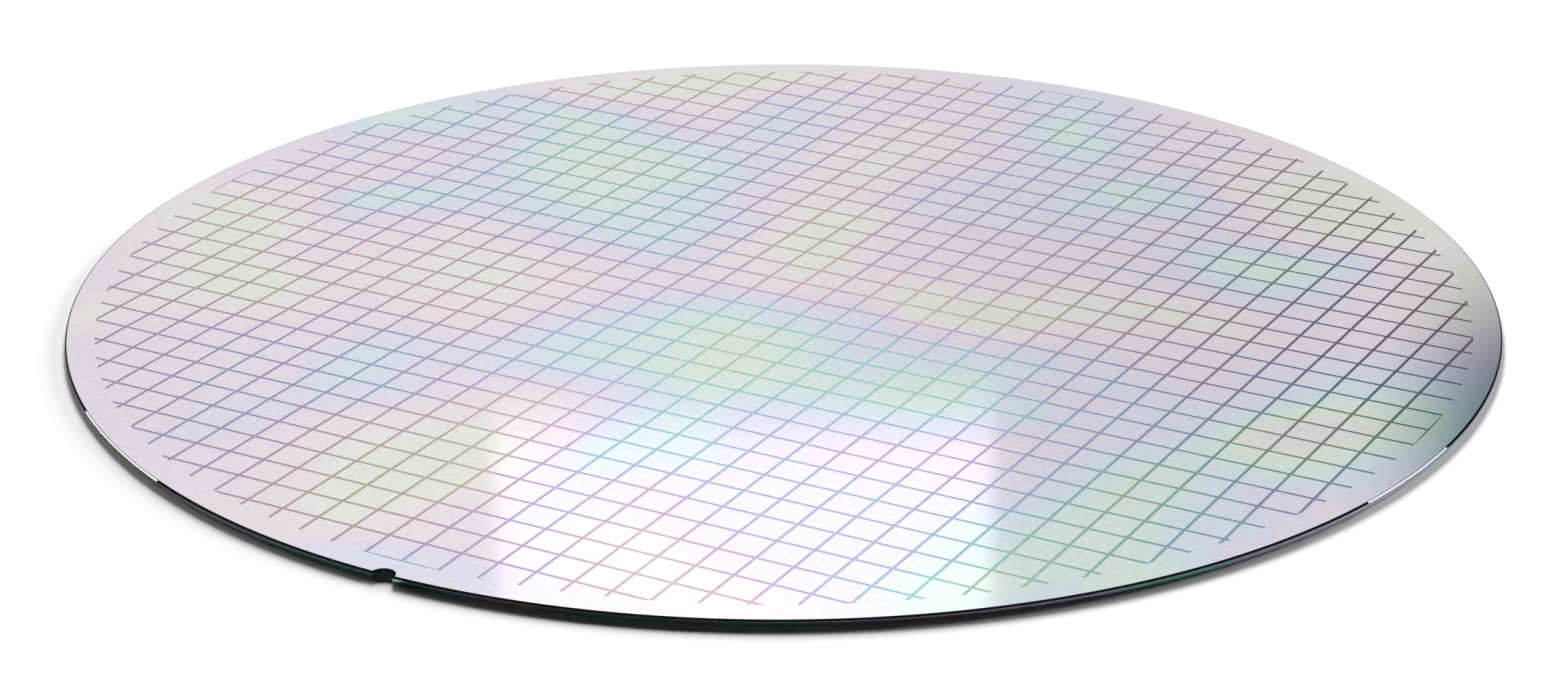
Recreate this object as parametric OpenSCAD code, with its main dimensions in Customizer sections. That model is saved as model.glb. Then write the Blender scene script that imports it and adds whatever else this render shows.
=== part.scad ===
// Silicon wafer: a thin round disc with a rounded edge, a half-round
// orientation notch, and a square field of dies divided by scribe streets.
// The back face lies on z = 0, the wafer's centre is the origin, the notch
// is at -Y and the streets run along X and Y.

/* [Wafer] */
// Outer diameter of the wafer
wafer_d = 150; // [125:5:160]
// Thickness from the back face to the front face
wafer_t = 0.675; // [0.6:0.025:0.9]
// Radius that rounds both rims of the outer edge
edge_r = 0.175; // [0.1:0.025:0.225]

/* [Notch] */
// Radius of the notch's upright wall, which is centred on the outer circle
notch_r = 1.05; // [0.8:0.05:1.5]
// Radius that rounds both rims of the notch
notch_rim_r = 0.175; // [0.1:0.025:0.225]

/* [Die field] */
// Distance from one scribe street to the next, in both directions
die_pitch = 4; // [3.5:0.5:8]
// Width of a scribe street at the front face
street_w = 0.32; // [0.2:0.02:0.4]
// Depth of a scribe street along its middle
street_depth = 0.02; // [0.01:0.005:0.03]
// Width of the plain ring between the die field and the outer edge
plain_ring_w = 3; // [2.5:0.5:5]

/* [Hidden] */

silicon_grey = [0.70, 0.72, 0.76];
overcut = 1;
wafer_r = wafer_d / 2;
field_r = wafer_r - plain_ring_w;
last_street = floor((field_r + street_w / 2) / die_pitch);
$fn = 180;

// Half section of the disc: flat faces, and an edge with two rounded rims
module disc_section() {
    square([wafer_r - edge_r, wafer_t]);
    translate([0, edge_r])
        square([wafer_r, wafer_t - 2 * edge_r]);
    for (z = [edge_r, wafer_t - edge_r])
        translate([wafer_r - edge_r, z])
            circle(r = edge_r);
}

// Half section of what the notch takes away: its wall flares into both faces
module notch_section() {
    mouth_r = notch_r + notch_rim_r;
    difference() {
        translate([0, -overcut])
            square([mouth_r, wafer_t + 2 * overcut]);
        translate([notch_r, notch_rim_r])
            square([2 * notch_rim_r, wafer_t - 2 * notch_rim_r]);
        for (z = [notch_rim_r, wafer_t - notch_rim_r])
            translate([mouth_r, z])
                circle(r = notch_rim_r);
    }
}

// The plain disc before its streets are scribed
module notched_disc() {
    difference() {
        rotate_extrude()
            disc_section();
        translate([0, -wafer_r, 0])
            rotate_extrude()
                notch_section();
    }
}

// A straight cut along Y, with its section given in X and in height
module cut_along_y(section) {
    rotate([90, 0, 0])
        linear_extrude(height = wafer_d, center = true)
            polygon(section);
}

// A V groove whose slopes run on above the face, so that it cuts cleanly
module street() {
    cut_along_y([
        [-street_w, street_depth],
        [0, -street_depth],
        [street_w, street_depth]
    ]);
}

// The street on the very rim of the field, of which only the inner slope shows
module rim_street() {
    cut_along_y([
        [-street_w, street_depth],
        [street_w, -3 * street_depth],
        [street_w, street_depth]
    ]);
}

// All the streets of one direction, ended by the round limit of the field
module streets() {
    intersection() {
        translate([0, 0, wafer_t - overcut])
            cylinder(r = field_r, h = 2 * overcut);
        for (i = [-last_street : last_street])
            translate([i * die_pitch, 0, wafer_t])
                if (abs(i) * die_pitch + street_w / 2 < field_r)
                    street();
                else
                    mirror([i < 0 ? 1 : 0, 0, 0])
                        rim_street();
    }
}

// The streets are cut one direction after the other, and cross in full depth
module wafer() {
    color(silicon_grey)
        difference() {
            difference() {
                notched_disc();
                streets();
            }
            rotate([0, 0, 90])
                streets();
        }
}

wafer();
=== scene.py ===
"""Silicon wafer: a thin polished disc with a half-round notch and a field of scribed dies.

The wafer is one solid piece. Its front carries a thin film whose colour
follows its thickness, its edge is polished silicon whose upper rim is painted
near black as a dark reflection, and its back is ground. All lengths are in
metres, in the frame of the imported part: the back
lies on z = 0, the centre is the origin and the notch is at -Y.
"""

import logging
import math
from dataclasses import dataclass, field
from enum import Enum, IntEnum
from typing import Sequence

import bmesh
import bpy
from bmesh.types import BMEdge, BMesh, BMFace, BMVert
from bpy.types import Material, Node, NodeSocket as Socket, NodeTree, Object
from mathutils import Matrix, Vector


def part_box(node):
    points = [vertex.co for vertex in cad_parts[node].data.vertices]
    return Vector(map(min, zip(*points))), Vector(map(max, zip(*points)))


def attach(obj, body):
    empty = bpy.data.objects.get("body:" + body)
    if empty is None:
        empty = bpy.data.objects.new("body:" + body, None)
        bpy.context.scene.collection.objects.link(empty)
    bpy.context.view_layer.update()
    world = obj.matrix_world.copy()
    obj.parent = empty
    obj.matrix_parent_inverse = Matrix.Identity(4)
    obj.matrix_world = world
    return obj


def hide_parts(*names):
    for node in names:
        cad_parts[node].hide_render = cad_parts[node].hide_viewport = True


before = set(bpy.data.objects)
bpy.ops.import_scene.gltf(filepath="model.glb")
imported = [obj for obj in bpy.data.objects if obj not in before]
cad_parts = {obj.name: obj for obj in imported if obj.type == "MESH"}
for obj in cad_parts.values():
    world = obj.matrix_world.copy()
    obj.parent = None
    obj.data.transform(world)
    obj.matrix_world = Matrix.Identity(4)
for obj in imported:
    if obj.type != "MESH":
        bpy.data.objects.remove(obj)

MM = 0.001
"""One millimetre in metres."""

SAME_PLACE = 1e-7
"""Distance under which two points of a solid are taken as one."""

FLAT = 0.9999
"""Least upright share of the normal of a flat face."""

"""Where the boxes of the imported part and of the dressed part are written."""

log = logging.getLogger("silicon_wafer")

Colour = tuple[float, float, float, float]
Point2 = tuple[float, float]


# --- Small helpers ---


def shade(red: int, green: int, blue: int) -> Colour:
    """Turns a display colour into the linear colour that a shader expects.

    Args:
        red: Red on the display scale, 0 to 255.
        green: Green on that scale.
        blue: Blue on that scale.

    Returns:
        Linear red, green and blue, and an alpha of one.
    """

    def linear(level: int) -> float:
        """Returns one channel on the linear scale."""
        part = level / 255
        return part / 12.92 if part <= 0.04045 else ((part + 0.055) / 1.055) ** 2.4

    return (linear(red), linear(green), linear(blue), 1.0)


def collected(name: str, bench: BMesh) -> Object:
    """Ends a bmesh and hangs its mesh in the scene as an object at the origin.

    Args:
        name: Name of the object and of its mesh.
        bench: The finished bmesh, which is freed.

    Returns:
        The new object.
    """
    mesh = bpy.data.meshes.new(name)
    bench.to_mesh(mesh)
    bench.free()
    piece = bpy.data.objects.new(name, mesh)
    bpy.context.scene.collection.objects.link(piece)
    return piece


def extend(bench: BMesh, edges: Sequence[BMEdge], way: float) -> None:
    """Draws upright walls out of open edges.

    Args:
        bench: The bmesh that is worked on.
        edges: The open edges.
        way: How far the walls go up.
    """
    made = bmesh.ops.extrude_edge_only(bench, edges=edges)
    moved = [corner for corner in made["geom"] if isinstance(corner, BMVert)]
    bmesh.ops.translate(bench, verts=moved, vec=(0.0, 0.0, way))


def closed(name: str, bench: BMesh) -> Object:
    """Closes the open ends of a bmesh and makes an object of it.

    Args:
        name: Name of the object.
        bench: The bmesh, which is freed.

    Returns:
        The closed solid, with its normals outward.
    """
    bmesh.ops.holes_fill(bench, edges=[edge for edge in bench.edges if edge.is_boundary], sides=0)
    bmesh.ops.recalc_face_normals(bench, faces=bench.faces)
    return collected(name, bench)


class Cut(Enum):
    """What a tool solid does to the work."""

    AWAY = "DIFFERENCE"
    KEEP_SHARED = "INTERSECT"


def cut(work: Object, tool: Object, kind: Cut) -> None:
    """Cuts the work with a tool solid and throws the tool away.

    Args:
        work: The object that is cut. Its mesh is replaced by the result.
        tool: The object that cuts. It is removed.
        kind: Whether the tool's space is taken away or is all that stays.
    """
    modifier = work.modifiers.new("cut", "BOOLEAN")
    modifier.operation = kind.value
    modifier.solver = "EXACT"
    modifier.object = tool
    bpy.context.view_layer.update()
    depsgraph = bpy.context.evaluated_depsgraph_get()
    result = bpy.data.meshes.new_from_object(work.evaluated_get(depsgraph))
    work.modifiers.clear()
    plain = work.data
    work.data = result
    result.name = work.name
    bpy.data.meshes.remove(plain)
    spare = tool.data
    bpy.data.objects.remove(tool)
    bpy.data.meshes.remove(spare)


class Blend(Enum):
    """What a blend node mixes."""

    VECTORS = "VECTOR"
    COLOURS = "RGBA"


@dataclass
class NodeBench:
    """Places and wires the nodes of one tree.

    Attributes:
        tree: The node tree that is worked on.
    """

    tree: NodeTree

    def add(self, kind: str, inputs: dict | None = None, **settings: object) -> Node:
        """Places one node.

        Args:
            kind: The node's type name.
            inputs: Values or sockets for its inputs, by name or by index.
            settings: Its own settings, such as its operation.

        Returns:
            The new node.
        """
        node = self.tree.nodes.new(kind)
        for name, value in settings.items():
            setattr(node, name, value)
        self.fill(node, inputs or {})
        return node

    def fill(self, node: Node, inputs: dict) -> None:
        """Sets a node's inputs.

        Args:
            node: The node.
            inputs: Values or sockets for its inputs, by name or by index.
        """
        for key, value in inputs.items():
            if isinstance(value, Socket):
                self.tree.links.new(value, node.inputs[key])
            else:
                node.inputs[key].default_value = value

    def sum(self, first: object, second: object, kind: str = "ADD") -> Socket:
        """Works out one sum on two numbers or sockets; kind is the Math node's operation."""
        return self.add("ShaderNodeMath", {0: first, 1: second}, operation=kind).outputs[0]

    def vectors(self, kind: str, *values: object) -> Socket:
        """Works out one sum on vectors; kind is the Vector Math node's operation."""
        return self.add("ShaderNodeVectorMath", dict(enumerate(values)), operation=kind).outputs[0]

    def scaled(self, vector: Socket, share: Socket) -> Socket:
        """Gives a vector or a colour times a number."""
        return self.add("ShaderNodeVectorMath", {0: vector, "Scale": share}, operation="SCALE").outputs[0]

    def noise(self, position: Socket, scale: float, detail: float = 1.0, roughness: float = 0.5) -> Node:
        """Places noise of a scale per metre; detail and roughness give its finer layers."""
        inputs = {"Vector": position, "Scale": scale, "Detail": detail, "Roughness": roughness}
        return self.add("ShaderNodeTexNoise", inputs)

    def ramp(self, value: Socket, colours: Sequence[Colour]) -> Socket:
        """Runs a value from 0 to 1 through evenly spaced colours.

        Args:
            value: The value that picks the colour.
            colours: The colours from 0 to 1.

        Returns:
            The socket that gives the colour.
        """
        node = self.add("ShaderNodeValToRGB", {"Fac": value})
        stops = node.color_ramp.elements
        while len(stops) < len(colours):
            stops.new(0.5)
        for place, colour in enumerate(colours):
            stops[place].position = place / (len(colours) - 1)
            stops[place].color = colour
        return node.outputs["Color"]

    def blend(self, kind: Blend, share: object, first: Socket, second: Socket) -> Socket:
        """Blends two vectors or two colours.

        Args:
            kind: Which of them.
            share: How much of the second one is taken, from 0 to 1.
            first: The first socket.
            second: The second socket.

        Returns:
            The socket that gives the blend.
        """
        node = self.add("ShaderNodeMix", {"Factor": share}, data_type=kind.value)
        ends = [socket for socket in node.inputs if socket.type == kind.value]
        self.tree.links.new(first, ends[-2])
        self.tree.links.new(second, ends[-1])
        return next(socket for socket in node.outputs if socket.type == kind.value)

    def cover(self, share: Socket, shader: Node) -> None:
        """Ends a material that is partly clear.

        Args:
            share: How much of it isn't clear, from 0 to 1.
            shader: The shader of that share.
        """
        clear = self.add("ShaderNodeBsdfTransparent").outputs[0]
        both = self.add("ShaderNodeMixShader", {0: share, 1: clear, 2: shader.outputs[0]})
        self.add("ShaderNodeOutputMaterial", {"Surface": both.outputs[0]})


def node_group(name: str, takes: Sequence[str], gives: str) -> tuple[NodeBench, dict[str, Socket], Socket]:
    """Starts a shader node group that gives one number.

    Args:
        name: The group's name.
        takes: Names of its inputs. "Position" is a vector and the rest are numbers.
        gives: Name of its output.

    Returns:
        A bench for its nodes, its inputs by name, and the socket that its
        answer is linked into.
    """
    tree = bpy.data.node_groups.new(name, "ShaderNodeTree")
    for label in takes:
        kind = "NodeSocketVector" if label == "Position" else "NodeSocketFloat"
        tree.interface.new_socket(name=label, in_out="INPUT", socket_type=kind)
    tree.interface.new_socket(name=gives, in_out="OUTPUT", socket_type="NodeSocketFloat")
    source, sink = tree.nodes.new("NodeGroupInput"), tree.nodes.new("NodeGroupOutput")
    return NodeBench(tree), {label: source.outputs[label] for label in takes}, sink.inputs[gives]


def bare_material(name: str) -> tuple[Material, NodeBench]:
    """Makes a material without nodes.

    Args:
        name: Name of the material.

    Returns:
        The material and a bench for its nodes.
    """
    material = bpy.data.materials.new(name)
    material.use_nodes = True
    material.node_tree.nodes.clear()
    return material, NodeBench(material.node_tree)


# --- The film: its thickness over the face, its colours and its grain ---


@dataclass(frozen=True)
class Patch:
    """A soft oval where the film's thickness or a painted shade differs from that around it.

    Attributes:
        x: Middle of the oval along X, in millimetres.
        y: Middle of the oval along Y, in millimetres.
        length: Reach of the oval along its own length, in millimetres.
        width: Reach of the oval across it, in millimetres.
        turn: Turn of its length from X, in degrees.
        rise: Change at its middle, in steps of the colour order or as a share of painted shade.
    """

    x: float
    y: float
    length: float
    width: float
    turn: float
    rise: float


class FilmOrder(IntEnum):
    """Steps of the colour order, from the thinnest film to the thickest."""

    OLIVE = 0
    SAND = 1
    ROSE = 2
    LILAC = 3
    BLUE = 4
    CYAN = 5
    MINT = 6
    LIME = 7
    ASH = 8


class FilmPlace(IntEnum):
    """Where the film lies, in the order of the colours in FILM_COLOURS."""

    DIE = 0
    PALE_STREET = 1
    DEEP_STREET = 2
    EDGE = 3


FILM_COLOURS: dict[FilmOrder, tuple[tuple[int, int, int], ...]] = {
    FilmOrder.OLIVE: ((213, 217, 206), (178, 181, 160), (84, 77, 58), (238, 236, 214)),
    FilmOrder.SAND: ((218, 217, 211), (192, 175, 167), (90, 60, 61), (246, 234, 222)),
    FilmOrder.ROSE: ((221, 211, 217), (188, 159, 180), (84, 50, 82), (242, 220, 232)),
    FilmOrder.LILAC: ((214, 206, 220), (173, 158, 198), (67, 52, 106), (230, 218, 244)),
    FilmOrder.BLUE: ((206, 209, 223), (153, 172, 203), (43, 66, 109), (208, 226, 246)),
    FilmOrder.CYAN: ((201, 214, 221), (140, 186, 192), (16, 84, 95), (182, 238, 242)),
    FilmOrder.MINT: ((204, 219, 212), (146, 193, 177), (24, 88, 67), (176, 242, 212)),
    FilmOrder.LIME: ((210, 218, 206), (166, 188, 159), (55, 93, 57), (206, 240, 196)),
    FilmOrder.ASH: ((213, 210, 211), (172, 168, 168), (76, 74, 70), (230, 226, 226)),
}
# Display colours of the film at each step of its thickness: on a die, in a street where it is palest, in a
# street at its darkest under painted shade, and on the edge.
"""Display colours of the film at each step of its thickness: on a die, in a
street where it is palest, in a street where it is deepest, and on the edge."""


def film_colours(place: FilmPlace) -> list[Colour]:
    """Returns the film's colours at one place, from the thinnest to the thickest."""
    return [shade(*colours[place]) for colours in FILM_COLOURS.values()]


FILM_PATCHES: tuple[Patch, ...] = (
    # Thick film, mint in its middle and blue around it
    Patch(-36, 22, 32, 22, -40, 3.5),
    Patch(-50, 5, 12, 10, 30, 3.0),
    Patch(-50, 36, 16, 8, -10, 1.6),
    Patch(-66, 29, 14, 11, 20, 3.2),
    Patch(-18, 10, 10, 14, 0, 1.4),
    Patch(-26, 47, 9, 15, 0, 1.6),
    Patch(6, 61, 11, 16, 15, 3.4),
    Patch(-3, 74, 12, 9, 0, 1.4),
    Patch(21, 46, 17, 10, 20, 2.7),
    Patch(10, 36, 20, 16, 0, 0.8),
    Patch(44, 32, 23, 13, 0, 3.4),
    Patch(4, -17, 28, 22, -25, 3.9),
    Patch(-14, -23, 14, 10, 30, 1.6),
    Patch(6, -39, 9, 15, 0, 2.6),
    Patch(27, -13, 15, 19, -10, 2.6),
    Patch(38, -11, 15, 14, 0, 2.2),
    Patch(54, -37, 19, 32, -16, 3.5),
    Patch(50, -54, 13, 11, 0, 1.8),
    Patch(64, -40, 9, 12, -30, 1.8),
    Patch(63, -9, 19, 16, 0, 4.3),
    Patch(53, -24, 12, 13, 0, 1.0),
    Patch(69, 4, 24, 18, 0, 3.3),
    Patch(-28, -37, 10, 18, 0, 2.2),
    Patch(-33, -56, 9, 10, 0, 1.0),
    Patch(28, -46, 26, 20, 0, 1.0),
    Patch(0, -72, 14, 8, 0, 1.6),
    # Thin film, sand and olive in its middle
    Patch(-40, 58, 28, 11, 38, -2.2),
    Patch(-11, 41, 11, 17, 0, -1.4),
    Patch(-5, 16, 11, 18, 10, -1.9),
    Patch(18, 6, 19, 12, 0, -2.2),
    Patch(36, 14, 18, 9, 10, -1.6),
    Patch(46, 54, 28, 15, -30, -2.3),
    Patch(61, 34, 11, 16, 0, -3.2),
    Patch(-64, -9, 17, 18, 0, -2.0),
    Patch(-54, -24, 18, 14, -30, -1.8),
    Patch(-62, -37, 8, 8, 0, -1.6),
    Patch(-34, -10, 17, 17, 0, -1.5),
    Patch(-12, -54, 15, 22, 0, -2.5),
    Patch(18, -64, 26, 10, 0, -1.0),
    Patch(38, -12, 8, 7, 0, -2.4),
    Patch(72, -26, 9, 11, 0, -4.0),
    Patch(71, 24, 10, 12, 0, -0.4),
)
"""Where the film is thicker or thinner over the face."""

EDGE_PATCHES: tuple[Patch, ...] = (
    Patch(-37, -65, 16, 16, 0, -2.0),
    Patch(-2, -75, 20, 14, 0, 2.4),
    Patch(13, -74, 5, 8, 0, -3.0),
    Patch(22, -72, 9, 10, 0, 3.0),
    Patch(36, -66, 14, 14, 0, 2.0),
    Patch(63, -41, 12, 12, 0, 3.0),
    Patch(75, -4, 12, 12, 0, 1.8),
    Patch(70, 28, 16, 20, 0, 2.0),
    Patch(-74, 10, 16, 22, 0, 2.4),
    Patch(-40, 64, 20, 20, 0, -1.6),
    Patch(20, 72, 20, 16, 0, 2.6),
)
"""Where the film is thicker or thinner along the upright edge."""

NOTCH_PAINTED_SHADE: tuple[Patch, ...] = (Patch(2.8, -75, 3.8, 6, 0, -0.55),)
# Painted shade on the upright edge beside the notch, as a share of its colour.
"""Where the upright edge is darker, as a share of its colour."""

# Painted shade: ovals that darken the streets, most towards +X; the negative ones lighten them.
STREET_PAINTED_SHADE: tuple[Patch, ...] = (
    Patch(80, 36, 72, 84, 0, 1.1),
    Patch(40, 62, 45, 35, 0, 0.3),
    Patch(12, -22, 48, 52, 0, -0.5),
    Patch(-60, -50, 50, 50, 0, 0.15),
    Patch(34, -64, 50, 36, 0, -0.35),
)
# Painted shade over the streets, strongest towards +X and lessened in places, from 0 to 1.
"""Where the streets are deeper or paler in tone, from 0 to 1."""


def patch_sum(bench: NodeBench, position: Socket, ground: float, patches: Sequence[Patch]) -> Socket:
    """Adds soft ovals up over the face.

    Args:
        bench: Bench that the nodes are made on.
        position: Position on the wafer.
        ground: Value where there is no patch.
        patches: The ovals.

    Returns:
        The socket of the sum.
    """
    total: Socket | float = ground
    for patch in patches:
        oval = bench.add(
            "ShaderNodeMapping",
            {
                "Vector": position,
                "Location": (patch.x * MM, patch.y * MM, 0.0),
                "Rotation": (0.0, 0.0, math.radians(patch.turn)),
                "Scale": (patch.length * MM, patch.width * MM, 1.0),
            },
            vector_type="TEXTURE",
        )
        reach = bench.add("ShaderNodeVectorMath", {0: oval.outputs[0]}, operation="LENGTH")
        hump = bench.add(
            "ShaderNodeMapRange",
            {"Value": reach.outputs["Value"], "To Min": patch.rise, "To Max": 0.0},
            interpolation_type="SMOOTHSTEP",
        )
        total = bench.sum(total, hump.outputs[0])
    return total


@dataclass(frozen=True)
class FilmThickness:
    """The film's thickness over the wafer, as a step of the colour order.

    Attributes:
        patches: The soft ovals that it is made of.
        ground: Thickness where there is no patch.
        waver: How far the outline of a patch wavers, in metres.
        waver_reach: Distance over which it wavers, in metres.
        ripple: Small changes everywhere, in steps of the colour order.
        ripple_fineness: How fine they are, where the wavering is one.
        name: Name of the group.
    """

    patches: tuple[Patch, ...] = FILM_PATCHES
    ground: float = 2.6
    waver: float = 10 * MM
    waver_reach: float = 22 * MM
    ripple: float = 0.9
    ripple_fineness: float = 0.6
    name: str = "film_thickness"

    def group(self) -> NodeTree:
        """Makes the group that turns a position into a thickness.

        Returns:
            The group, which gives 0 for the thinnest film and 1 for the thickest.
        """
        bench, takes, answer = node_group(self.name, ["Position"], "Thickness")
        noise = bench.noise(takes["Position"], 1 / self.waver_reach, detail=2.0)
        centred = bench.vectors("SUBTRACT", noise.outputs["Color"], (0.5, 0.5, 0.5))
        waver = (2 * self.waver, 2 * self.waver, 0.0)
        swayed = bench.vectors("MULTIPLY_ADD", centred, waver, takes["Position"])
        total = patch_sum(bench, swayed, self.ground, self.patches)
        cloud = bench.noise(takes["Position"], self.ripple_fineness / self.waver_reach, detail=3.0)
        ripple = bench.sum(bench.sum(cloud.outputs["Fac"], 0.5, "SUBTRACT"), 2 * self.ripple, "MULTIPLY")
        steps = bench.sum(total, ripple)
        bench.tree.links.new(bench.sum(steps, float(max(FilmOrder)), "DIVIDE"), answer)
        return bench.tree


@dataclass(frozen=True)
class Grain:
    """The fine sandy grain that the film shows close up.

    Attributes:
        fine: Size of the fine grains, in metres.
        coarse: Size of the coarser clumps, in metres.
    """

    fine: float = 0.16 * MM
    coarse: float = 0.7 * MM

    def group(self) -> NodeTree:
        """Makes the group that gives the grain at a position.

        Returns:
            The group, which gives values about one that differ by Amount.
        """
        bench, takes, answer = node_group("film_grain", ["Position", "Amount"], "Grain")
        fine = bench.noise(takes["Position"], 1 / self.fine, roughness=0.6)
        coarse = bench.noise(takes["Position"], 1 / self.coarse)
        both = bench.sum(bench.sum(fine.outputs["Fac"], coarse.outputs["Fac"]), 1.0, "SUBTRACT")
        scaled = bench.sum(both, takes["Amount"], "MULTIPLY")
        bench.tree.links.new(bench.sum(scaled, 1.0), answer)
        return bench.tree


# --- Finishes ---


class Surface(IntEnum):
    """The wafer's surfaces, in the order of its material slots."""

    FILM = 0
    STREET = 1
    RIM = 2
    WALL = 3
    BACK = 4


@dataclass(frozen=True)
class Finish:
    """What all finishes of the wafer share.

    Attributes:
        name: Name of the material.
        film: Group that gives the film's thickness.
        grain: Group that gives the grain.
        grain_share: Strength of the grain.
        roughness: How dull it is, from 0 to 1.
        glancing: Its tint where it is seen at a slant.
    """

    name: str
    film: NodeTree
    grain: NodeTree
    grain_share: float = 0.2
    roughness: float = 0.05
    glancing: Colour = (1.0, 1.0, 1.0, 1.0)

    def thickness(self, bench: NodeBench, position: Socket) -> Socket:
        """Places the film group and returns its thickness at a position."""
        return bench.add("ShaderNodeGroup", {"Position": position}, node_tree=self.film).outputs[0]

    def colour(self, bench: NodeBench, position: Socket) -> Socket:
        """Gives the colour under the grain, which each finish makes in its own way."""
        raise NotImplementedError

    def dullness(self, bench: NodeBench, position: Socket) -> object:
        """Gives the roughness, as a number or as a socket."""
        return self.roughness

    def make(self) -> Material:
        """Makes the material: metal in its colour, with the grain over it.

        Returns:
            The material.
        """
        material = bpy.data.materials.new(self.name)
        material.use_nodes = True
        bench = NodeBench(material.node_tree)
        position = bench.add("ShaderNodeTexCoord").outputs["Object"]
        inputs = {"Position": position, "Amount": self.grain_share}
        grain = bench.add("ShaderNodeGroup", inputs, node_tree=self.grain).outputs[0]
        polish = {
            "Base Color": bench.scaled(self.colour(bench, position), grain),
            "Metallic": 1.0,
            "Roughness": self.dullness(bench, position),
            "Specular Tint": self.glancing,
        }
        bench.fill(material.node_tree.nodes["Principled BSDF"], polish)
        return material


@dataclass(frozen=True)
class FilmFinish(Finish):
    """The polished film on the dies and on the plain ring.

    Attributes:
        die_pitch: Distance from one street to the next, in metres.
        step: How far a die takes the thickness of its middle, from 0 to 1.
    """

    grain_share: float = 0.16
    roughness: float = 0.06
    die_pitch: float = 4 * MM
    step: float = 0.15

    def colour(self, bench: NodeBench, position: Socket) -> Socket:
        """Gives the film's colour, which steps a little from die to die.

        Args:
            bench: The material's bench.
            position: The position on the wafer.

        Returns:
            The colour's socket.
        """
        corner = bench.vectors("SNAP", position, (self.die_pitch, self.die_pitch, 1.0))
        middle = bench.vectors("ADD", corner, (self.die_pitch / 2, self.die_pitch / 2, 0.0))
        place = bench.blend(Blend.VECTORS, self.step, position, middle)
        return bench.ramp(self.thickness(bench, place), film_colours(FilmPlace.DIE))


@dataclass(frozen=True)
class StreetFinish(Finish):
    """The darker film in the scribe streets, under painted shade that is strongest towards +X.

    Attributes:
        painted_shade_patches: Where the streets carry more or less painted shade.
        ground: Their share of painted shade elsewhere, from 0 to 1.
        sway: How far their film strays from the dies', in steps of the colour order.
        sway_reach: Distance over which it strays.
    """

    grain_share: float = 0.3
    roughness: float = 0.16
    painted_shade_patches: tuple[Patch, ...] = STREET_PAINTED_SHADE
    ground: float = 0.29
    sway: float = 2.4
    sway_reach: float = 15 * MM

    def colour(self, bench: NodeBench, position: Socket) -> Socket:
        """Gives the streets' colour, between their palest and their darkest under painted shade.

        Args:
            bench: The material's bench.
            position: The position on the wafer.

        Returns:
            The colour's socket.
        """
        noise = bench.noise(position, 1 / self.sway_reach).outputs["Fac"]
        strayed = bench.sum(bench.sum(noise, 0.5, "SUBTRACT"), 2 * self.sway / max(FilmOrder), "MULTIPLY")
        film = bench.sum(self.thickness(bench, position), strayed)
        pale = bench.ramp(film, film_colours(FilmPlace.PALE_STREET))
        shaded = bench.ramp(film, film_colours(FilmPlace.DEEP_STREET))
        # Painted shade: blends the streets towards their darkest colours by position.
        painted_shade = patch_sum(bench, position, self.ground, self.painted_shade_patches)
        return bench.blend(Blend.COLOURS, painted_shade, pale, shaded)


@dataclass(frozen=True)
class PaintedDarkRimFinish(Finish):
    """The rounded upper rim: polished silicon whose near black is a painted dark reflection.

    Attributes:
        colours: Its painted near-black colours, from the thinnest film to the thickest.
    """

    glancing: Colour = (0.5, 0.5, 0.5, 1.0)
    # Painted reflection: near black that stands in for a dark surrounding mirrored in the rim.
    colours: tuple[Colour, ...] = (shade(18, 19, 16), shade(17, 16, 20), shade(16, 19, 18))

    def colour(self, bench: NodeBench, position: Socket) -> Socket:
        """Gives the rim's painted near black, which the film tints a little."""
        return bench.ramp(self.thickness(bench, position), self.colours)


@dataclass(frozen=True)
class WallFinish(Finish):
    """The upright edge and the notch: polished silicon with the film's last colours."""

    roughness: float = 0.12

    def colour(self, bench: NodeBench, position: Socket) -> Socket:
        """Gives the edge's pale film colour, with painted shade beside the notch."""
        film = bench.ramp(self.thickness(bench, position), film_colours(FilmPlace.EDGE))
        # Painted shade: darkens the edge beside the notch.
        return bench.scaled(film, patch_sum(bench, position, 1.0, NOTCH_PAINTED_SHADE))


GRINDING_MARKS: dict[str, float] = {"Scale": 700.0, "Distortion": 3.0, "Detail": 3.0, "Detail Scale": 2.0}
"""Shape of the grinding marks on the back, as inputs of a wave node."""


@dataclass(frozen=True)
class BackFinish(Finish):
    """The ground back: satin grey with faint round grinding marks.

    Attributes:
        colours: Colour between the marks, and of the marks.
        dull: Roughness between the marks, and of the marks.
    """

    colours: tuple[Colour, ...] = (shade(122, 123, 127), shade(140, 141, 145))
    dull: Point2 = (0.36, 0.48)

    def rings(self, bench: NodeBench, position: Socket) -> Socket:
        """Places the grinding marks and returns their strength, from 0 to 1."""
        kind = {"wave_type": "RINGS", "rings_direction": "Z"}
        return bench.add("ShaderNodeTexWave", {"Vector": position, **GRINDING_MARKS}, **kind).outputs["Fac"]

    def colour(self, bench: NodeBench, position: Socket) -> Socket:
        """Gives the back's grey, paler on the marks."""
        return bench.ramp(self.rings(bench, position), self.colours)

    def dullness(self, bench: NodeBench, position: Socket) -> Socket:
        """Gives the back's roughness, higher on the marks."""
        inputs = {"Value": self.rings(bench, position), "To Min": self.dull[0], "To Max": self.dull[1]}
        return bench.add("ShaderNodeMapRange", inputs).outputs[0]


# --- The wafer ---


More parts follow.
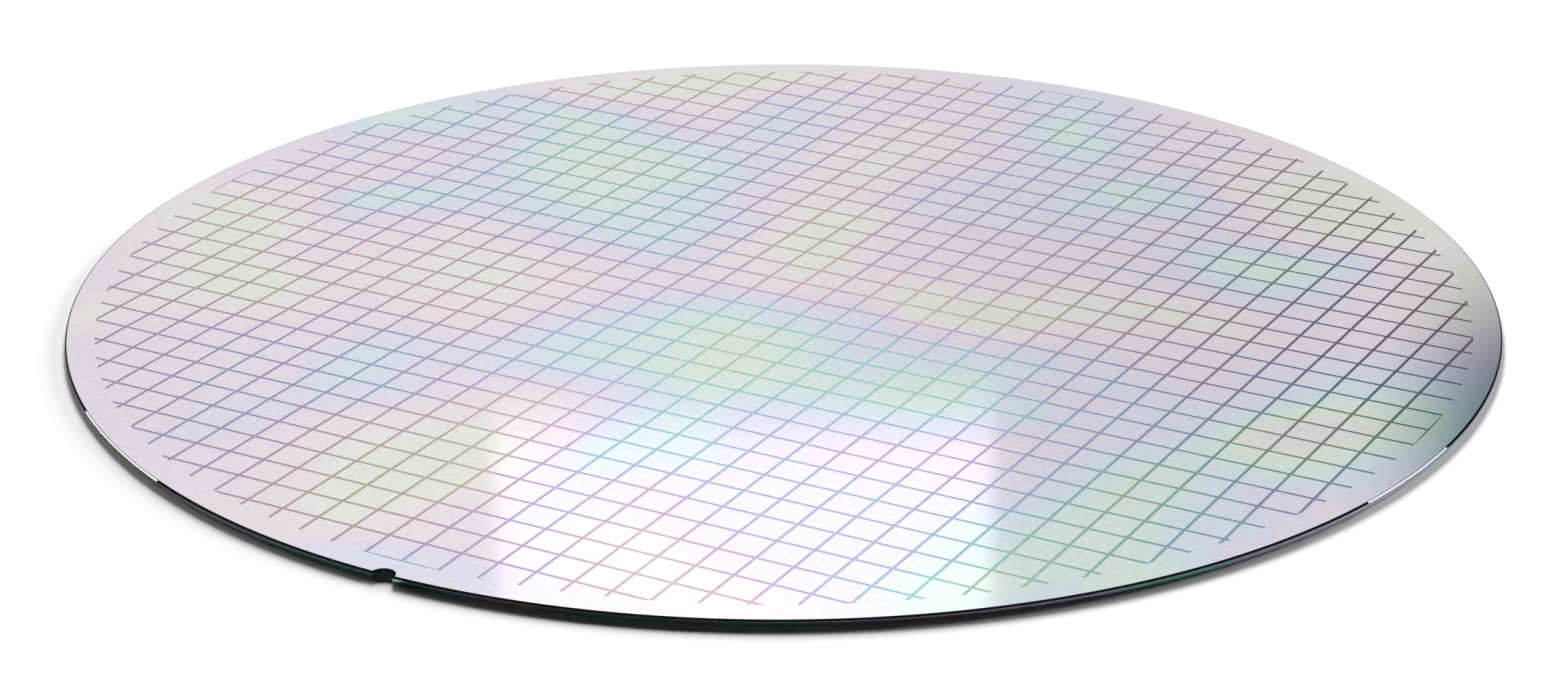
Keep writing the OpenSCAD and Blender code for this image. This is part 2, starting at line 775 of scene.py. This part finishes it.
@dataclass
class Blank:
    """The plain disc: flat faces, a rounded edge and the flared notch.

    Attributes:
        radius: Radius of the outer edge.
        height: Thickness.
        edge_r: Radius that rounds both rims of the edge.
        notch_r: Radius of the notch's upright wall.
        notch_rim_r: Radius that rounds both rims of the notch.
        overcut: How far the notch's tool runs on beyond both faces.
        turns: Steps of the outer edge round the disc.
        rim_steps: Steps of a rounded rim.
    """

    radius: float
    height: float
    edge_r: float = 0.175 * MM
    notch_r: float = 1.05 * MM
    notch_rim_r: float = 0.175 * MM
    overcut: float = 1 * MM
    turns: int = 720
    rim_steps: int = 10

    def section(self, bench: BMesh, inner: float, rim: float, outward: bool) -> list[BMVert | BMEdge]:
        """Draws the half section of a wall with two rounded rims.

        Args:
            bench: The bmesh to draw in.
            inner: Where the flat faces end, from the axis.
            rim: Radius of the rims.
            outward: True for the disc's bulging edge, False for a notch's flare.

        Returns:
            The vertices and edges of the section.
        """
        foot = bench.verts.new((inner, 0.0, 0.0))
        turn = -math.pi / 2 if outward else math.pi / 2
        arc = {"axis": (0.0, 1.0, 0.0), "angle": turn, "space": Matrix(), "steps": self.rim_steps}
        made = bmesh.ops.spin(bench, geom=[foot], cent=(inner, 0.0, rim), **arc)
        last = [v for v in made["geom_last"] if isinstance(v, BMVert)]
        lifted = bmesh.ops.extrude_vert_indiv(bench, verts=last)
        bmesh.ops.translate(bench, verts=lifted["verts"], vec=(0.0, 0.0, self.height - 2 * rim))
        top = (inner, 0.0, self.height - rim)
        bmesh.ops.spin(bench, geom=lifted["verts"], cent=top, **arc)
        return list(bench.verts) + list(bench.edges)

    def turned(
        self, name: str, inner: float, rim: float, outward: bool, steps: int, reach: float
    ) -> Object:
        """Turns a section round its axis into a closed solid.

        Args:
            name: Name of the solid.
            inner: Where the flat faces end, from the axis.
            rim: Radius of the rims.
            outward: True for the disc, False for the notch's tool.
            steps: Steps round the axis.
            reach: How far the solid runs on beyond both faces.

        Returns:
            The solid, on the axis of the wafer.
        """
        bench = bmesh.new()
        section = self.section(bench, inner, rim, outward)
        whole = {"axis": (0.0, 0.0, 1.0), "angle": 2 * math.pi, "space": Matrix(), "use_merge": True}
        bmesh.ops.spin(bench, geom=section, steps=steps, **whole)
        bmesh.ops.remove_doubles(bench, verts=bench.verts, dist=SAME_PLACE / 10)
        if reach:
            for end, way in ((0.0, -reach), (self.height, reach)):
                open_edges = [edge for edge in bench.edges if edge.is_boundary]
                loop = [e for e in open_edges if all(abs(v.co.z - end) < SAME_PLACE for v in e.verts)]
                extend(bench, loop, way)
        return closed(name, bench)

    def build(self, name: str) -> Object:
        """Builds the disc and cuts its notch.

        Args:
            name: Name of the piece.

        Returns:
            The notched disc.
        """
        disc = self.turned(name, self.radius - self.edge_r, self.edge_r, True, self.turns, 0.0)
        mouth_r = self.notch_r + self.notch_rim_r
        tool = self.turned("notch_tool", mouth_r, self.notch_rim_r, False, self.turns // 6, self.overcut)
        tool.data.transform(Matrix.Translation((0.0, -self.radius, 0.0)))
        cut(disc, tool, Cut.AWAY)
        return disc


@dataclass
class DieField:
    """The crossing scribe streets, ended by the round limit of the field.

    Attributes:
        radius: Radius at which the streets end.
        top: Height of the front face.
        pitch: Distance from one street to the next.
        street_w: Width of a street at the face.
        street_depth: Depth of a street.
        street_wall: Width of the steep wall on either side of a street.
        tool_h: Height of the scribing tool.
        turns: Steps of the round limit.
    """

    radius: float
    top: float
    pitch: float = 4 * MM
    street_w: float = 0.32 * MM
    street_depth: float = 0.02 * MM
    street_wall: float = 0.0012 * MM
    tool_h: float = 1 * MM
    turns: int = 720

    def tool(self) -> Object:
        """Makes the scribing tool: a plate whose underside carries all the streets.

        Returns:
            The tool, in place above the face.
        """
        cells = 2 * math.ceil(self.radius / self.pitch + 1)
        bench = bmesh.new()
        bmesh.ops.create_grid(bench, x_segments=cells, y_segments=cells, size=cells * self.pitch / 2)
        bmesh.ops.translate(bench, verts=bench.verts, vec=(0.0, 0.0, self.top - self.street_depth))
        dies = bench.faces[:]
        floor_half = self.street_w / 2 - self.street_wall
        for width, rise in ((floor_half, 0.0), (2 * self.street_wall, 2 * self.street_depth)):
            bmesh.ops.inset_individual(bench, faces=dies, thickness=width, depth=rise, use_even_offset=True)
        extend(bench, [edge for edge in bench.edges if edge.is_boundary], self.tool_h)
        plate = closed("street_tool", bench)
        cut(plate, self.limit(), Cut.KEEP_SHARED)
        return plate

    def limit(self) -> Object:
        """Makes the round plug that limits the field.

        Returns:
            The plug.
        """
        bench = bmesh.new()
        size = {"radius1": self.radius, "radius2": self.radius, "depth": self.tool_h}
        bmesh.ops.create_cone(bench, cap_ends=True, segments=self.turns, **size)
        half_step = Matrix.Rotation(math.pi / self.turns, 3, "Z")
        bmesh.ops.rotate(bench, verts=bench.verts, cent=(0.0, 0.0, 0.0), matrix=half_step)
        bmesh.ops.translate(bench, verts=bench.verts, vec=(0.0, 0.0, self.top))
        return collected("field_limit", bench)

    def scribe(self, piece: Object) -> None:
        """Cuts the streets into a piece."""
        cut(piece, self.tool(), Cut.AWAY)


@dataclass
class SiliconWafer:
    """The finished wafer: its blank, its die field and its finishes.

    Attributes:
        high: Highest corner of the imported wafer, whose centre is the origin.
        plain_ring_w: Width of the plain ring outside the die field.
        field_slack: How far a street's end may lie outside the die field.
        crisp: Least angle between two faces that makes their edge crisp.
        name: Name of the piece.
        blank: The plain disc.
        dies: The die field.
    """

    high: Vector
    plain_ring_w: float = 3 * MM
    field_slack: float = 0.036 * MM
    crisp: float = math.radians(35)
    name: str = "silicon_wafer"
    blank: Blank = field(init=False)
    dies: DieField = field(init=False)

    def __post_init__(self) -> None:
        """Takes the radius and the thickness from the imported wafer."""
        self.blank = Blank(radius=self.high.x, height=self.high.z)
        self.dies = DieField(radius=self.high.x - self.plain_ring_w, top=self.high.z)

    def surface_of(self, face: BMFace) -> Surface:
        """Tells which surface a face belongs to.

        Args:
            face: The face.

        Returns:
            Its surface.
        """
        middle = face.calc_center_median()
        depth = self.blank.height - middle.z
        film_end, street_end = self.dies.street_depth / 4, 1.5 * self.dies.street_depth
        if face.normal.z < -FLAT:
            return Surface.BACK
        if face.normal.z > FLAT and depth < film_end:
            return Surface.FILM
        if depth < street_end and middle.xy.length < self.dies.radius + self.field_slack:
            return Surface.STREET
        # The upper rim gets the painted near black of a dark reflection; the wall below it does not.
        return Surface.RIM if depth < self.blank.edge_r else Surface.WALL

    def sort_surfaces(self, piece: Object) -> None:
        """Gives each face its material slot and each edge its crispness.

        Args:
            piece: The cut wafer.
        """
        bench = bmesh.new()
        bench.from_mesh(piece.data)
        bmesh.ops.remove_doubles(bench, verts=bench.verts, dist=2 * SAME_PLACE)
        bench.normal_update()
        for face in bench.faces:
            face.material_index = self.surface_of(face)
            face.smooth = True
        for edge in bench.edges:
            kinds = {f.material_index for f in edge.link_faces}
            edge.smooth = not (edge.calc_face_angle(0.0) > self.crisp or Surface.STREET in kinds)
        bench.to_mesh(piece.data)
        bench.free()

    def build(self) -> Object:
        """Builds the wafer's mesh.

        Returns:
            The wafer, with a modifier that keeps its flat faces flat.
        """
        piece = self.blank.build(self.name)
        self.dies.scribe(piece)
        self.sort_surfaces(piece)
        flatten = piece.modifiers.new("flat_faces", "WEIGHTED_NORMAL")
        flatten.mode = "FACE_AREA"
        flatten.keep_sharp = True
        return piece

    def dress(self, piece: Object) -> None:
        """Gives the wafer its finishes, in the order of its surfaces.

        Args:
            piece: The wafer.
        """
        film, grain = FilmThickness().group(), Grain().group()
        edge = {"ground": 3.0, "waver": 3 * MM, "waver_reach": 8 * MM, "ripple": 1.2}
        edge_film = FilmThickness(EDGE_PATCHES, **edge, name="edge_film_thickness").group()
        for finish in (
            FilmFinish("patterned_film", film, grain, die_pitch=self.dies.pitch),
            StreetFinish("scribe_street", film, grain),
            PaintedDarkRimFinish("rim_painted_dark", film, grain),
            WallFinish("polished_edge", edge_film, grain),
            BackFinish("ground_back", film, grain),
        ):
            piece.data.materials.append(finish.make())

    def place(self) -> Object:
        """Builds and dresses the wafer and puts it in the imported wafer's place.

        Returns:
            The finished piece.
        """
        piece = self.build()
        self.dress(piece)
        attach(piece, "root")
        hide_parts("wafer")
        return piece


# --- The studio ---


def grey(level: float) -> Colour:
    """Returns a neutral light of one brightness, where the room's is one."""
    return (level, level, level, 1.0)


PURPLE: Colour = (0.20, 0.14, 0.24, 1.0)
TEAL: Colour = (0.0, 0.11, 0.115, 1.0)
DARK_GLOWS: tuple[Colour, ...] = (PURPLE, PURPLE, TEAL, TEAL, TEAL)
"""Glow of the dark card, from its foot to its head."""


def undimmed(bench: NodeBench) -> Socket:
    """Gives one on the way from the camera and its mirrors, and none past the floor."""
    inputs = {0: 1.0, 1: bench.add("ShaderNodeLightPath").outputs["Diffuse Depth"]}
    return bench.add("ShaderNodeMath", inputs, operation="SUBTRACT", use_clamp=True).outputs[0]


def only_mirrored(piece: Object) -> None:
    """Hides a studio piece from all but polished surfaces."""
    piece.visible_camera = piece.visible_diffuse = piece.visible_shadow = False
    piece.visible_transmission = piece.visible_volume_scatter = False


@dataclass(frozen=True)
class Lamp:
    """A soft low lamp that lights the floor and casts the wafer's shadow.

    Attributes:
        name: Name of the lamp.
        bearing: Direction from the wafer, in degrees from straight behind it.
        height: Height above the horizon, in degrees.
        spread: Angle that it fills, in degrees.
        power: Its strength.
    """

    name: str
    bearing: float
    height: float
    spread: float
    power: float

    def place(self, straight_behind: float) -> None:
        """Hangs the lamp, facing the wafer.

        Args:
            straight_behind: Direction straight behind the wafer, in radians from +X.
        """
        data = bpy.data.lights.new(self.name, "SUN")
        data.energy = self.power
        data.angle = math.radians(self.spread)
        lamp = bpy.data.objects.new(self.name, data)
        away, lift = straight_behind - math.radians(self.bearing), math.radians(self.height)
        level = math.cos(lift)
        source = Vector((math.cos(away) * level, math.sin(away) * level, math.sin(lift)))
        lamp.rotation_euler = source.to_track_quat("Z", "Y").to_euler()
        lamp.location = source
        lamp.visible_glossy = False
        bpy.context.scene.collection.objects.link(lamp)


@dataclass(frozen=True)
class Card:
    """An upright studio card that shows only in polished surfaces.

    Attributes:
        name: Name of the card.
        bearing: Direction from the wafer, in degrees from straight behind it.
        distance: Distance from the wafer along the floor.
        width: Width of the card.
        foot: Height of its lower edge.
        head: Height of its upper edge.
        glows: Colours of its glow from foot to head, where the room is one.
        margin: Shares of its width and height over which it fades out.
        lean: Turn of the card in its own plane, in degrees.
    """

    name: str
    bearing: float
    distance: float
    width: float
    foot: float
    head: float
    glows: tuple[Colour, ...]
    margin: Point2 = (0.05, 0.05)
    lean: float = 0.0

    def material(self) -> Material:
        """Makes the card's light, which fades to the room's at its edges.

        Returns:
            The material.
        """
        material, bench = bare_material(self.name)
        uv = bench.add("ShaderNodeSeparateXYZ", {0: bench.add("ShaderNodeTexCoord").outputs["UV"]})
        shares = []
        for axis, margin in zip("XY", self.margin):
            off_middle = bench.sum(uv.outputs[axis], 0.5, "SUBTRACT")
            reach = bench.add("ShaderNodeMath", {0: off_middle}, operation="ABSOLUTE").outputs[0]
            fade = bench.add(
                "ShaderNodeMapRange",
                {"Value": reach, "From Min": 0.5 - margin, "From Max": 0.5, "To Min": 1.0, "To Max": 0.0},
                interpolation_type="SMOOTHSTEP",
            )
            shares.append(fade.outputs[0])
        share = bench.sum(bench.sum(shares[0], shares[1], "MULTIPLY"), undimmed(bench), "MULTIPLY")
        colour = bench.ramp(uv.outputs["Y"], self.glows if len(self.glows) > 1 else self.glows * 2)
        light = bench.add("ShaderNodeEmission", {"Color": colour, "Strength": 1.0})
        bench.cover(share, light)
        return material

    def place(self, straight_behind: float) -> None:
        """Stands the card up, facing the wafer.

        Args:
            straight_behind: Direction straight behind the wafer, in radians from +X.
        """
        bench = bmesh.new()
        bmesh.ops.create_grid(bench, x_segments=1, y_segments=1, size=0.5)
        layer = bench.loops.layers.uv.verify()
        for face in bench.faces:
            for loop in face.loops:
                loop[layer].uv = (loop.vert.co.x + 0.5, loop.vert.co.y + 0.5)
        height = self.head - self.foot
        bmesh.ops.scale(bench, verts=bench.verts, vec=(self.width, height, 1.0))
        upright = Matrix.Rotation(math.pi / 2, 4, "X") @ Matrix.Rotation(math.radians(self.lean), 4, "Z")
        away = straight_behind - math.radians(self.bearing)
        turned = Matrix.Rotation(away - math.pi / 2, 4, "Z")
        stand = (self.distance * math.cos(away), self.distance * math.sin(away), self.foot + height / 2)
        bmesh.ops.transform(bench, verts=bench.verts, matrix=Matrix.Translation(stand) @ turned @ upright)
        card = collected(self.name, bench)
        card.data.materials.append(self.material())
        only_mirrored(card)


@dataclass(frozen=True)
class RimStrip:
    """A thin bent strip of light close along the rim, which gives it a highlight.

    It leans in over the rim and shows only in polished surfaces.

    Attributes:
        name: Name of the strip.
        bearing: Direction of its middle, in degrees from straight behind.
        reach: How far it runs to either side of its middle, in degrees.
        foot: How far outside the rim its lower edge is, and how high.
        head: How far outside the rim its upper edge is, and how high.
        near: How far its light carries, so that the face doesn't mirror it.
        glow: Brightness, where the room is one.
        steps: Steps along it.
    """

    name: str
    bearing: float
    reach: float
    foot: Point2 = (0.07 * MM, 0.5 * MM)
    head: Point2 = (-0.07 * MM, 0.76 * MM)
    near: float = 0.21 * MM
    glow: float = 240.0
    steps: int = 16

    def material(self) -> Material:
        """Makes the strip's light, which carries only a little way.

        Returns:
            The material.
        """
        material, bench = bare_material(self.name)
        length = bench.add("ShaderNodeLightPath").outputs["Ray Length"]
        lit = bench.sum(bench.sum(length, self.near, "LESS_THAN"), undimmed(bench), "MULTIPLY")
        light = bench.add("ShaderNodeEmission", {"Color": grey(1.0), "Strength": self.glow})
        bench.cover(lit, light)
        return material

    def place(self, straight_behind: float, rim: float) -> None:
        """Bends the strip round the rim.

        Args:
            straight_behind: Direction straight behind the wafer, in radians from +X.
            rim: Radius of the wafer's rim.
        """
        bench = bmesh.new()
        bmesh.ops.create_grid(bench, x_segments=self.steps, y_segments=1, size=1.0)
        for corner in bench.verts:
            around = straight_behind - math.radians(self.bearing + self.reach * corner.co.x)
            outward, height = self.foot if corner.co.y < 0.0 else self.head
            corner.co = ((rim + outward) * math.cos(around), (rim + outward) * math.sin(around), height)
        strip = collected(self.name, bench)
        strip.data.materials.append(self.material())
        only_mirrored(strip)


@dataclass(frozen=True)
class Camera:
    """The camera, aimed at a point on the front face.

    Attributes:
        azimuth: Turn round the wafer, in degrees; 0 looks along +Y.
        elevation: Height above the horizon, in degrees.
        distance: Distance from the aim point.
        lead: How far the aim point lies in front of the wafer's centre.
        side: How far the aim point lies to the right of it.
        lens: Focal length, in millimetres.
        shift: Sideways shift of the picture, as a share of its width.
        sensor: Width of the sensor, in millimetres.
        clip: Nearest and farthest distance that it sees.
    """

    azimuth: float = 28.52
    elevation: float = 23.19
    distance: float = 401.6 * MM
    lead: float = 14.25 * MM
    side: float = 3.57 * MM
    lens: float = 90.0
    shift: float = -0.0219
    sensor: float = 36.0
    clip: Point2 = (0.01, 20.0)

    def place(self, face_height: float) -> None:
        """Places the camera and makes it the scene's.

        Args:
            face_height: Height of the front face.
        """
        turn, lift = math.radians(self.azimuth), math.radians(self.elevation)
        towards = Vector((math.sin(turn), -math.cos(turn), 0.0))
        back = towards * math.cos(lift) + Vector((0.0, 0.0, math.sin(lift)))
        right = Vector((-towards.y, towards.x, 0.0))
        aim = towards * self.lead + right * self.side + Vector((0.0, 0.0, face_height))
        data = bpy.data.cameras.new("camera")
        data.lens, data.sensor_width, data.shift_x = self.lens, self.sensor, self.shift
        data.clip_start, data.clip_end = self.clip
        camera = bpy.data.objects.new("camera", data)
        camera.location = aim + back * self.distance
        camera.rotation_euler = (-back).to_track_quat("-Z", "Y").to_euler()
        bpy.context.scene.collection.objects.link(camera)
        bpy.context.scene.camera = camera


@dataclass(frozen=True)
class Studio:
    """A pale floor, a white room, low lamps, and the cards and strips that the wafer mirrors.

    Attributes:
        view: The camera, whose line of sight the lamps and the cards stand by.
        rim: Radius of the wafer's rim.
        lamps: The lamps.
        fill: Brightness of the room as the floor sees it.
        floor_reach: Distance from the middle of the floor to its sides.
        floor_gap: Distance from the wafer's back down to the floor.
        floor_colour: The floor's colour.
        contact: Reach within which the wafer's back sees past the floor.
        cards: The cards.
        strips: The strips of light along the rim.
    """

    view: Camera
    rim: float
    lamps: tuple[Lamp, ...] = (
        Lamp("back_light", -3.0, 19.5, 15.6, 7.1),
        Lamp("low_right_light", 39.0, 6.0, 8.0, 3.8),
        Lamp("right_light", 48.0, 10.0, 27.0, 4.2),
        Lamp("left_light", -37.5, 7.4, 33.0, 2.35),
    )
    fill: float = 0.01
    floor_reach: float = 15.0
    floor_gap: float = 0.02 * MM
    floor_colour: Colour = (0.95, 0.95, 0.95, 1.0)
    contact: float = 0.06 * MM
    cards: tuple[Card, ...] = (
        Card("pale_scrim", -6.5, 1.5, 0.66, 0.46, 1.2, (grey(1.13),), (0.5, 0.5)),
        Card("dim_scrim", 7.4, 1.4, 0.48, 0.36, 0.76, (grey(0.9),), (0.5, 0.5)),
        Card("soft_box", -1.4, 1.2, 0.228, 0.537, 1.35, (grey(1.48),), (0.03, 0.05)),
        Card("dark_flag", 15.1, 1.24, 0.17, 0.455, 0.655, DARK_GLOWS, (0.5, 0.42), 12.0),
    )
    strips: tuple[RimStrip, ...] = (
        RimStrip("left_strip", -120.5, 7.2),
        RimStrip("right_strip", 126.6, 5.9),
    )

    def room(self) -> None:
        """Makes the room: white where it is seen or mirrored, dim on the floor."""
        world = bpy.data.worlds.new("room")
        world.use_nodes = True
        bench = NodeBench(world.node_tree)
        path = bench.add("ShaderNodeLightPath")
        seen = bench.sum(path.outputs["Is Camera Ray"], path.outputs["Is Glossy Ray"], "MAXIMUM")
        seen = bench.sum(seen, path.outputs["Is Transmission Ray"], "MAXIMUM")
        seen = bench.sum(seen, undimmed(bench), "MULTIPLY")
        strength = bench.add("ShaderNodeMapRange", {"Value": seen, "To Min": self.fill, "To Max": 1.0})
        light = world.node_tree.nodes["Background"]
        light.inputs["Color"].default_value = grey(1.0)
        world.node_tree.links.new(strength.outputs[0], light.inputs["Strength"])
        world.cycles.sampling_method = "NONE"
        bpy.context.scene.world = world

    def floor(self) -> None:
        """Lays the pale floor, which is clear from below and to the back that lies on it."""
        bench = bmesh.new()
        bmesh.ops.create_grid(bench, x_segments=1, y_segments=1, size=self.floor_reach)
        bmesh.ops.translate(bench, verts=bench.verts, vec=(0.0, 0.0, -self.floor_gap))
        floor = collected("floor", bench)
        material, nodes = bare_material("pale_floor")
        below = nodes.add("ShaderNodeNewGeometry").outputs["Backfacing"]
        path = nodes.add("ShaderNodeLightPath")
        close = nodes.sum(path.outputs["Ray Length"], self.contact, "LESS_THAN")
        lain_on = nodes.sum(close, path.outputs["Is Glossy Ray"], "MULTIPLY")
        clear = nodes.sum(below, lain_on, "MAXIMUM")
        pale = nodes.add("ShaderNodeBsdfDiffuse", {"Color": self.floor_colour})
        nodes.cover(nodes.sum(1.0, clear, "SUBTRACT"), pale)
        floor.data.materials.append(material)

    def build(self) -> None:
        """Sets up the room, the floor, the lamps, the cards and the strips."""
        self.room()
        self.floor()
        straight_behind = math.radians(90.0 + self.view.azimuth)
        for stand in (*self.lamps, *self.cards):
            stand.place(straight_behind)
        for strip in self.strips:
            strip.place(straight_behind, self.rim)


# --- The whole scene ---


def main() -> None:
    """Builds the wafer and its studio, and reports each piece."""
    logging.basicConfig(level=logging.INFO, format="%(name)s: %(message)s")
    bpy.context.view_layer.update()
    low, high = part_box("wafer")

    wafer = SiliconWafer(high).place()
    triangles = sum(len(p.vertices) - 2 for p in wafer.data.polygons)
    log.info("%s: %d faces, %d triangles", wafer.name, len(wafer.data.polygons), triangles)
    for surface in Surface:
        count = sum(p.material_index == surface for p in wafer.data.polygons)
        log.info("  %s: %d faces", surface.name.lower(), count)

    camera = Camera()
    camera.place(high.z)
    studio = Studio(camera, (high.x - low.x) / 2)
    studio.build()
    bpy.context.scene.view_settings.view_transform = "Standard"
    counts = len(studio.lamps), len(studio.cards), len(studio.strips)
    log.info("studio: floor, %d lamps, %d cards, %d strips", *counts)


if __name__ == "__main__":
    main()
